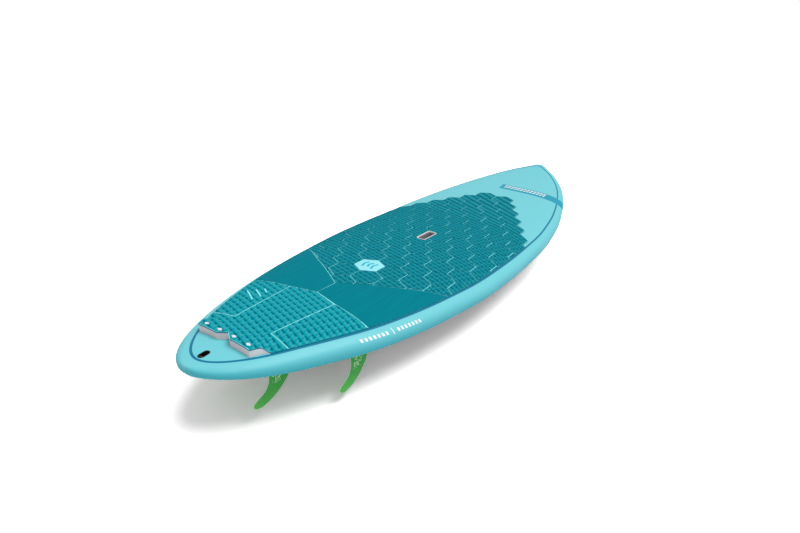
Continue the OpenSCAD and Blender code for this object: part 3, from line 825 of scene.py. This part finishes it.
def fin_frame(front, left):
    """Places +X forward, +Y inboard, +Z into the board at a fin's base."""
    x, y, _, toe, cant = FIN_PLACES["front" if front else "rear"]
    ends = bottom_z(np.array([x - 40, x + 40, x]), np.array([y, y, y]))
    pitch = math.degrees(math.atan2(ends[0] - ends[1], 80))
    m = (Matrix.Translation((x, -y, float(ends[2]))) @ Matrix.Rotation(math.radians(toe), 4, "Z")
         @ Matrix.Rotation(math.radians(-cant), 4, "X") @ Matrix.Rotation(math.radians(pitch), 4, "Y"))
    return Matrix.Scale(-1, 4, (0, 1, 0)) @ m if left else m


handle_top = float(deck_z(np.array([HANDLE_X]), np.array([0.0]))[0]) + PAD_T + 0.5
OUT_L, OUT_W, OUT_R = HANDLE_L + 2 * WELL_WALL, HANDLE_W + 2 * WELL_WALL, 12.0
handle_hole = prism("handle_cutter", round_rect(OUT_L + 0.2, OUT_W + 0.2, OUT_R + 0.1, HANDLE_X), 60, 200)
leash_hole = prism("leash_cutter", round_rect(LEASH_L, LEASH_W, LEASH_W / 2 - 0.01, LEASH_X), 60, 200)
shell("deck_shell", True, M["deck"], "deck_skin", [handle_hole, leash_hole])
box_cutters = []
for is_front in (True, False):
    for is_left in (True, False):
        lo_y, hi_y = -FIN_T / 2 - BOX_WALL - 0.1, BOX_INBOARD + 0.1
        half = FIN_BASE / 2 + BOX_WALL + 0.1
        loop = [(-half, lo_y), (half, lo_y), (half, hi_y), (-half, hi_y)]
        box_cutters.append(prism("box_cutter", loop, -15, 15, fin_frame(is_front, is_left)))
shell("bottom_shell", False, M["bottom"], "bottom_skin", box_cutters)

# ---------------------------------------------------------------- deck pad
REACH = 420.0
TAIL_FRONT = [(-820, 0), (-845, 97), (-869, 251), (-892, REACH)]
SMOOTH_FRONT = [(-729, 0), (-661, 102), (-601, 200), (-509, 332), (-480, REACH)]
TAIL_SEAM = [(-845, 97), (-1093, 75), (-1106, 155), (-1113, REACH)]
ROW = HEX_SIDE * math.sqrt(3) / 2


def hex_loop(c, k, side=HEX_SIDE):
    x, y = HEX_X + 1.5 * HEX_SIDE * c, k * ROW
    return [(x + side * math.cos(math.radians(60 * j)), y + side * math.sin(math.radians(60 * j)))
            for j in range(6)]


def edge_y(x):
    return float(pad_half(np.array([x]))[0])


def rail_line(x0, x1):
    """Points along the pad's port edge."""
    xs = np.linspace(x0, x1, max(2, int(abs(x1 - x0) / 14)) + 1)
    return [(float(x), float(w)) for x, w in zip(xs, pad_half(xs))]


def meets_rail(a, b):
    """x where the line from a to b meets the pad's edge."""
    t = np.linspace(0, 1, 2001)
    x, y = a[0] + (b[0] - a[0]) * t, a[1] + (b[1] - a[1]) * t
    return float(x[np.argmin(np.abs(pad_half(x) - y))])


def flip(loop):
    return [(x, -y) for x, y in loop]


def up_to_rail(line, margin=0.0):
    """Corners of a line inboard of the pad's edge, then the point where it meets the edge."""
    kept = [p for p in line if p[1] < edge_y(p[0]) - margin]
    x = meets_rail(kept[-1], line[len(kept)])
    return kept + [(x, edge_y(x))]


def stepped_front():
    """Stepped front edge from the centreline to the port rail."""
    out = [hex_loop(13, 1)[5]]
    for k in range(1, 7):
        out += hex_loop(14 - k, k)[:2]
    last = hex_loop(8, 6)[2]
    return out + [last, (last[0] - 30, REACH)]


steps = up_to_rail(stepped_front())
smooth_half = up_to_rail(SMOOTH_FRONT, 2.0)
tail_half = up_to_rail(TAIL_FRONT, 2.0)
seam_half = up_to_rail(TAIL_SEAM, 2.0)
port_side = rail_line(steps[-1][0], smooth_half[-1][0])[1:-1]
front_outline = (steps + port_side + smooth_half[::-1]
                 + flip(smooth_half)[1:] + flip(port_side)[::-1] + flip(steps)[:0:-1])


# Relief: slanting ribs with a row of facets between each pair, stretched towards the nose
RIB_PITCH, FACET_PITCH, RIB_SLANT, CROSS_SLANT = 21.6, 26.0, 0.3, 1.3
RIB_STEPS = (0.0, 0.1, 0.22, 0.36, 0.46, 0.82, 0.94)     # corners of the profile across a rib
FACET_STEPS = (0.0, 0.16, 0.28, 0.88)                    # and along it


def ribs(depth, stretch=None):
    """Height, painted shading and points of the relief. stretch is (from x, to x, factor)."""
    grid = np.linspace(-1400, 1400, 2801)
    rate = np.ones_like(grid)
    if stretch:
        rate = 1 / (1 + (stretch[2] - 1) * ease((grid - stretch[0]) / (stretch[1] - stretch[0])))
    warp = np.concatenate([[0], np.cumsum((rate[1:] + rate[:-1]) / 2)]) + grid[0]

    def coords(x, y):
        u = (np.interp(x, grid, warp) - RIB_SLANT * y) / RIB_PITCH
        return u, CROSS_SLANT * u + y / FACET_PITCH

    def parts(x, y):
        u, v = coords(x, y)
        u, v = u - np.floor(u + 1e-6), v - np.floor(v + 1e-6)
        groove = 1 - ease((u - 0.1) / 0.12) + ease((u - 0.94) / 0.06)
        facet = ease((u - 0.36) / 0.1) * (1 - ease((u - 0.82) / 0.12))
        notch = facet * (1 - ease(v / 0.16) + ease((v - 0.88) / 0.12))
        return groove, facet, notch

    def height(x, y):
        groove, facet, notch = parts(x, y)
        return depth * np.maximum(groove, np.maximum(0.4 * notch, 0.15 * facet))

    # Painted light: dark in the grooves and notches for shade, light on the facets for highlight
    def tone(x, y):
        groove, facet, notch = parts(x, y)
        return np.clip(0.5 - 0.5 * groove + 0.5 * facet - 0.55 * notch, 0, 1)

    def points(loop):
        """Corners of the relief over the box round an outline."""
        p = np.asarray(loop)
        corners = np.array([[x, y] for x in (p[:, 0].min(), p[:, 0].max())
                            for y in (p[:, 1].min(), p[:, 1].max())])
        a, b = coords(corners[:, 0], corners[:, 1])
        av = np.array([i + s for i in range(int(a.min()) - 1, int(a.max()) + 2) for s in RIB_STEPS])
        bv = np.array([i + s for i in range(int(b.min()) - 1, int(b.max()) + 2) for s in FACET_STEPS])
        A, B = np.meshgrid(av, bv)
        y = (B - CROSS_SLANT * A) * FACET_PITCH
        x = np.interp(A * RIB_PITCH + RIB_SLANT * y, warp, grid)
        return np.column_stack([x.ravel(), y.ravel()])
    return height, tone, points


front_low, front_shading, front_points = ribs(1.1, (50.0, 620.0, 2.2))
tail_low, tail_shading, tail_points = ribs(1.5)


def deck_at(h):
    return lambda x, y: deck_z(x, y) + h


def kicked(h):
    return lambda x, y: deck_z(x, y) + kick(x, y) + h


def ccw(loop):
    return loop if area(loop) > 0 else loop[::-1]


def snug(loop, d):
    """Outline moved inwards by d, but kept flush along the pad's edge."""
    near, gap = 6.0, 0.3
    out = []
    for x, y in inset(ccw(loop), d):
        edge = edge_y(x)
        out.append((x, math.copysign(edge - gap, y)) if edge - abs(y) < near else (x, y))
    return out


handle_gap = round_rect(OUT_L + 1.6, OUT_W + 1.6, OUT_R + 0.8, HANDLE_X)
net = [(x, y) for x in range(-1200, 700, 24) for y in range(-400, 401, 24)]
pad = Parts()
pad.plate(front_outline, deck_at(BASE_T), deck_at(GLUE), net,
          [handle_gap, hex_loop(0, 0, HEX_SIDE - 0.3)], slot=1, wall=0, step=14, lip=0)


def around_handle(tile):
    """Whether a tile overlaps the handle's gap."""
    xs, ys = [p[0] for p in tile], [abs(p[1]) for p in tile]
    return max(xs) > HANDLE_X - 61 and min(xs) < HANDLE_X + 61 and min(ys) < 24


# One tile per hexagon cell, cut off at the pad's outline; scraps are dropped
SCRAP = 60.0
tile_window = snug(front_outline, GROOVE / 2)
shrink = HEX_SIDE - GROOVE / 2 / math.cos(math.radians(30))
for c in range(-3, 15):
    for k in range(-9, 10):
        if (c + k) % 2 or (c, k) == (0, 0):
            continue
        tile = clip(tile_window, hex_loop(c, k, shrink))
        if not tile or abs(area(tile)) < SCRAP:
            continue
        holes = [handle_gap] if around_handle(tile) else []
        pad.plate(tile, lambda x, y: deck_z(x, y) + PAD_T - front_low(x, y),
                  deck_at(BASE_T - BURIED), front_points(tile), holes, lip=0.2, relief=front_shading)
pad.make("front_pad_foam", [M["pad"], M["base"]], replaces=["front_pad"])

emblem = Parts()
emblem.plate(hex_loop(0, 0, HEX_SIDE - 0.8), deck_at(PAD_T + 0.1), deck_at(GLUE), net, lip=0.6)
for j in (-1, 0, 1):
    y, aft, peak, fore = 20.0 * j, HEX_X - 24 + 8 * (j == 0), HEX_X + 4, HEX_X + 24
    chevron = [(aft, y + 2), (peak, y + 10), (fore, y + 2), (fore, y - 7), (peak, y + 1), (aft, y - 7)]
    emblem.plate(chevron, deck_at(PAD_T + 0.35), deck_at(PAD_T - 0.5), slot=1, lip=0.05)
emblem.make("emblem_tile", [M["emblem"], M["motif"]], replaces=["emblem_inlay"])

for sign, side_name in ((1, "left"), (-1, "right")):
    half = smooth_half + rail_line(smooth_half[-1][0], tail_half[-1][0])[1:-1] + tail_half[::-1]
    loop = half if sign > 0 else flip(half)
    panel = Parts()
    panel.plate(inset(loop, 0.1), deck_at(BASE_T), deck_at(GLUE), net, slot=1, wall=0, step=14, lip=0)
    panel.plate(snug(loop, GROOVE / 2), deck_at(PAD_T), deck_at(BASE_T - BURIED), net)
    panel.make("smooth_panel_foam_" + side_name, [M["smooth"], M["base"]],
               replaces=["smooth_panel_" + side_name])

# Tail pad: middle piece, two side pieces and the foam riser of the kick
REAR_RAIL_X = -1146.0
rear_half = [(REAR_X + 18, 0.0), (REAR_X, 27.0), (REAR_X, 103.0), (REAR_X + 32, 119.0)]
edge_half = rail_line(REAR_RAIL_X, seam_half[-1][0])[:-1]
centre_half = rear_half + edge_half + seam_half[::-1][:-1] + tail_half[:2][::-1]
centre_outline = centre_half + flip(centre_half[1:])[::-1][1:]
DRAIN_X, DRAIN_YS = REAR_X + 14, (-85, -29, 29, 85)
drain_loops = [[(DRAIN_X - 6, y), (DRAIN_X, y - 10), (DRAIN_X + 6, y), (DRAIN_X, y + 10)]
               for y in DRAIN_YS]


def tail_top(x, y):
    return deck_z(x, y) + kick(x, y) + PAD_T - tail_low(x, y)


def sagging(loop):
    """Height of a base sheet that drops away under the raised foam."""
    def height(x, y):
        away = distance(loop, np.column_stack([x, y]))
        return deck_z(x, y) + kick(x, y) + SEAM_T - 2.4 * ease((away - 2) / 8)
    return height


PORT_STRIPES = (((-988, 119), (-951, 186)), ((-960, 112), (-931, 166)), ((-928, 119), (-913, 146)))
STRIPE_HALF = 2.2
kick_net = net + [(x, y) for x in range(-1190, -1060, 12) for y in range(-210, 211, 12)]
centre = Parts()
centre.plate(inset(ccw(centre_outline), 0.1), sagging(centre_outline), kicked(GLUE), kick_net,
             drain_loops, slot=1, wall=0, step=10, lip=0)
centre.plate(snug(centre_outline, TAIL_GROOVE / 2), tail_top, kicked(BASE_T - BURIED),
             tail_points(centre_outline), drain_loops, lip=0.2, step=6, relief=tail_shading)
centre.make("tail_pad_foam", [M["tail"], M["base"]], replaces=["tail_pad_centre"])
for sign, side_name in ((1, "left"), (-1, "right")):
    half = tail_half[1:] + rail_line(tail_half[-1][0], seam_half[-1][0])[1:-1] + seam_half[::-1][:-1]
    loop = half if sign > 0 else flip(half)
    panel = Parts()
    panel.plate(inset(ccw(loop), 0.1), sagging(loop), kicked(GLUE), kick_net,
                slot=1, wall=0, step=10, lip=0)
    panel.plate(snug(loop, TAIL_GROOVE / 2), tail_top, kicked(BASE_T - BURIED), tail_points(loop),
                lip=0.2, step=6, relief=tail_shading)
    for a, b in PORT_STRIPES if sign > 0 else ():
        across = Vector((a[1] - b[1], b[0] - a[0])).normalized() * STRIPE_HALF
        strip = [(p[0] + k * across.x, p[1] + k * across.y) for k, p in ((-1, a), (-1, b), (1, b), (1, a))]
        panel.plate(ccw(strip), kicked(PAD_T + 0.2), kicked(PAD_T - 2), slot=1, lip=0)
    panel.make("tail_pad_foam_" + side_name, [M["tail"], M["base"]], replaces=["tail_pad_" + side_name])

riser = Parts()
back_half = [(x + 0.6, y) for x, y in rear_half + [(REAR_RAIL_X, edge_y(REAR_RAIL_X) - 1.0)]]
ramp_half = [(float(ramp_front(y)) - 10, y) for y in np.linspace(128, 0, 17)]
riser_half = back_half + ramp_half
riser_loop = ccw(riser_half + flip(riser_half[1:])[::-1][1:])
fine = [(x, y) for x in range(-1200, -1090, 8) for y in range(-130, 131, 8)]
riser.plate(riser_loop, lambda x, y: deck_z(x, y) + np.maximum(0.3, kick(x, y)), deck_at(GLUE), fine,
            step=6, lip=0)
for drain in drain_loops:
    riser.plate(inset(ccw(drain), 0.3), kicked(PAD_T - 0.6), kicked(-1.0), lip=0)
riser.make("kick_riser_foam", [M["riser"]], replaces=["kick_riser"], sharp=20)


# ---------------------------------------------------------------- handle well
def ring(length, width, corner, z, y=0.0):
    return [(p[0], p[1], z) for p in round_rect(length, width, corner, HANDLE_X, y)]


def level_at(z):
    return lambda x, y: np.full(len(x), z)


well = Parts()
pocket_y = (HANDLE_W - POCKET_W) / 2
pocket_out = POCKET_W + 2 * WELL_WALL
floor_z = handle_top - HANDLE_DEPTH
ledge_z = handle_top - LEDGE
well.loft([
    ring(OUT_L - 1, OUT_W - 1, OUT_R - 0.5, ledge_z),
    ring(OUT_L, OUT_W, OUT_R, handle_top - 3),
    ring(OUT_L, OUT_W, OUT_R, handle_top - 0.6),
    ring(OUT_L - 1, OUT_W - 1, OUT_R - 0.5, handle_top + 0.2),
    ring(OUT_L - 3.5, OUT_W - 3.5, OUT_R - 1.8, handle_top + 0.6),
    ring(HANDLE_L + 2.4, HANDLE_W + 2.4, 9.2, handle_top + 0.3),
    ring(HANDLE_L + 0.6, HANDLE_W + 0.6, 8.3, handle_top - 1),
    ring(HANDLE_L, HANDLE_W, 8, handle_top - 3),
    ring(HANDLE_L, HANDLE_W, 8, ledge_z),
    ring(HANDLE_L, HANDLE_W + 6, 9, ledge_z - 4, pocket_y * 0.27),
    ring(HANDLE_L, POCKET_W, 10, ledge_z - 8, pocket_y),
    ring(HANDLE_L, POCKET_W, 10, floor_z + 8, pocket_y),
    ring(HANDLE_L - 2, POCKET_W - 2, 9.5, floor_z + 3.5, pocket_y),
    ring(HANDLE_L - 6, POCKET_W - 6, 8, floor_z + 0.8, pocket_y),
    ring(HANDLE_L - 12, POCKET_W - 12, 6, floor_z, pocket_y),
])
vent_x = HANDLE_X - HANDLE_L / 4
vent_loop = [(vent_x + VENT_D / 2 * math.cos(math.radians(a)), VENT_D / 2 * math.sin(math.radians(a)))
             for a in range(0, 360, 12)]
well.plate(round_rect(HANDLE_L - 12, POCKET_W - 12, 6, HANDLE_X, pocket_y), level_at(floor_z),
           level_at(floor_z - 3.5), holes=[vent_loop], lip=0, step=8)
well.loft([
    ring(OUT_L - 1, OUT_W - 1, OUT_R - 0.5, ledge_z),
    ring(OUT_L, pocket_out, OUT_R, ledge_z - 5, pocket_y),
    ring(OUT_L, pocket_out, OUT_R, floor_z, pocket_y),
    ring(OUT_L - 8, POCKET_W, 9, floor_z - WELL_WALL, pocket_y),
])
well.plate(round_rect(OUT_L - 8, POCKET_W, 9, HANDLE_X, pocket_y), level_at(floor_z - WELL_WALL),
           level_at(floor_z - WELL_WALL), holes=[vent_loop], lip=0, step=8)
well.make("handle_recess", [M["well"]], replaces=["handle_well"], sharp=50)


# ---------------------------------------------------------------- fins
def fin_mesh(front, left, body, node):
    """Foiled blade with the tongue that sits in the fin box."""
    depth = FIN_PLACES["front" if front else "rear"][2]
    rows = np.array(FIN_ROWS, float)
    lead, trail = curve(rows[:, 0], rows[:, 1]), curve(rows[:, 0], rows[:, 2])
    n, m = 44, 18    # stations down the blade, points along a side of the foil
    t = 1 - (1 - np.arange(n + 1) / n)**1.7
    q = (1 - np.cos(np.pi * np.arange(m + 1) / m)) / 2
    le, te = FIN_BASE / 2 * lead(t), FIN_BASE / 2 * trail(t)
    foil = np.sqrt(q) * (1 - q) * 2.1 + 0.09 * q
    foil = np.minimum(1, foil / 0.82)
    verts, span, chord, rim = [], [], [], []
    edge = np.column_stack([np.concatenate([le, te[::-1]]), -depth * np.concatenate([t, t[::-1]])])
    for i in range(n + 1):
        flat = FIN_T / 2 * (1 - 0.62 * t[i])
        for k in range(2 * m):
            kk = k if k <= m else 2 * m - k
            side = 0 if k in (0, m) else (1 if k < m else -1)
            x = le[i] + (te[i] - le[i]) * q[kk]
            verts.append((x, side * max(0.3, flat * foil[kk]), -depth * t[i]))
            span.append(t[i])
            chord.append(q[kk])
            rim.append((x, -depth * t[i]))
    rim = open_distance(edge, np.array(rim))
    faces = []
    for i in range(n):
        for k in range(2 * m):
            a, b = i * 2 * m + k, i * 2 * m + (k + 1) % (2 * m)
            faces.append((a, b, b + 2 * m, a + 2 * m))
    faces.append(tuple(range(2 * m - 1, -1, -1)))
    faces.append(tuple(n * 2 * m + k for k in range(2 * m)))
    first = len(verts)
    tongue = round_rect(FIN_BASE - 0.4, FIN_T - 0.2, 1.2, n=3)
    levels = ((-0.4, 1, 1), (0.3, 1, 1), (TONGUE - 1.2, 1, 1), (TONGUE, 0.99, 0.88))
    for z, length, width in levels:
        for p in tongue:
            verts.append((p[0] * length, p[1] * width, z))
            span.append(0.0)
            chord.append(0.1)
    count = len(tongue)
    for i in range(len(levels) - 1):
        for k in range(count):
            a, b = first + i * count + k, first + i * count + (k + 1) % count
            faces.append((a, b, b + count, a + count))
    faces.append(tuple(first + k for k in range(count - 1, -1, -1)))
    faces.append(tuple(first + (len(levels) - 1) * count + k for k in range(count)))
    rim = np.concatenate([rim, np.full(len(levels) * count, 9.0)])
    m4 = fin_frame(front, left)
    placed = [tuple(m4 @ Vector(v)) for v in verts]
    add_object(node + "_blade", placed, faces, [M["fin"]], body=body, replaces=[node], closed=True,
               sharp=55, fields={"span": span, "chord": chord, "rim": rim})


for is_front in (True, False):
    for is_left in (True, False):
        fin_name = "%s_%s_fin" % ("front" if is_front else "rear", "left" if is_left else "right")
        fin_mesh(is_front, is_left, body_of(NODES[fin_name])[0], fin_name)

# ---------------------------------------------------------------- CAD nodes that are shown as they are
KEPT = {"foam_core_left": "eps", "foam_core_right": "eps", "stringer": "wood", "vent_housing": "vent",
        "vent_screw": "brass", "vent_oring": "seal", "vent_membrane": "membrane", "leash_cup": "cup",
        "leash_bar": "steel"}
for place in ("front_left", "front_right", "rear_left", "rear_right"):
    KEPT[place + "_fin_box"] = "box"
    KEPT[place + "_fin_screw"] = "steel"
for node_name, key in KEPT.items():
    o = NODES[node_name]
    o.data.materials.clear()
    o.data.materials.append(M[key])
    o.data.shade_smooth()
    o.data.set_sharp_from_angle(angle=math.radians(30))

# ---------------------------------------------------------------- studio
scene = bpy.context.scene
scene.view_settings.view_transform = "Standard"
scene.view_settings.look = "None"
floor_mesh = bpy.data.meshes.new("studio_floor")
floor_mesh.from_pydata([(x * FLOOR_HALF, y * FLOOR_HALF, FLOOR_Z)
                        for x, y in ((-1, -1), (1, -1), (1, 1), (-1, 1))], [], [(0, 1, 2, 3)])
floor_object = bpy.data.objects.new("studio_floor", floor_mesh)
scene.collection.objects.link(floor_object)
floor_paint = Paint("studio_floor_paint", rough=0.9, spec=0.0)
ray = floor_paint.t.nodes.new("ShaderNodeLightPath").outputs["Is Camera Ray"]
floor_shade = floor_paint.mix(ray, (FLOOR_SHADE,) * 3 + (1,), (FLOOR_SEEN,) * 3 + (1,))
floor_mesh.materials.append(floor_paint.colour(floor_shade))

world = bpy.data.worlds.new("studio_world")
scene.world = world
world.use_nodes = True
background = world.node_tree.nodes["Background"]
background.inputs["Color"].default_value = (1.0, 1.0, 1.0, 1.0)
seen = world.node_tree.nodes.new("ShaderNodeLightPath")
level = world.node_tree.nodes.new("ShaderNodeMapRange")
level.inputs["To Min"].default_value, level.inputs["To Max"].default_value = WORLD_LIGHT, WORLD_SEEN
world.node_tree.links.new(seen.outputs["Is Camera Ray"], level.inputs["Value"])
world.node_tree.links.new(level.outputs["Result"], background.inputs["Strength"])


def sun(name, direction, strength, angle):
    data = bpy.data.lights.new(name, "SUN")
    data.energy, data.angle = strength, math.radians(angle)
    o = bpy.data.objects.new(name, data)
    o.rotation_mode = "QUATERNION"
    o.rotation_quaternion = Vector(direction).to_track_quat("-Z", "Y")
    scene.collection.objects.link(o)


sun("key_light", (-0.22, 0.27, -1.0), 2.35, 42.0)

# Camera at the photo's viewing angle
AZIMUTH, ELEVATION, ROLL = math.radians(-57.9475), math.radians(24.1712), math.radians(3.8260)
CAMERA_AT = Vector((-1.921295, -1.004231, 0.894476))
LENS = 22.584
back = Vector((math.sin(AZIMUTH) * math.cos(ELEVATION), -math.cos(AZIMUTH) * math.cos(ELEVATION),
               math.sin(ELEVATION)))
right = Vector((0, 0, 1)).cross(back).normalized()
upward = back.cross(right)
right_r = right * math.cos(ROLL) + upward * math.sin(ROLL)
up_r = upward * math.cos(ROLL) - right * math.sin(ROLL)
cam_data = bpy.data.cameras.new("camera")
cam_data.sensor_width = 36.0
cam_data.lens = LENS
cam_data.clip_start, cam_data.clip_end = 0.02, 200.0
cam = bpy.data.objects.new("camera", cam_data)
turn = Matrix((right_r, up_r, back)).transposed().to_4x4()
cam.matrix_world = Matrix.Translation(CAMERA_AT) @ turn
scene.collection.objects.link(cam)
scene.camera = cam
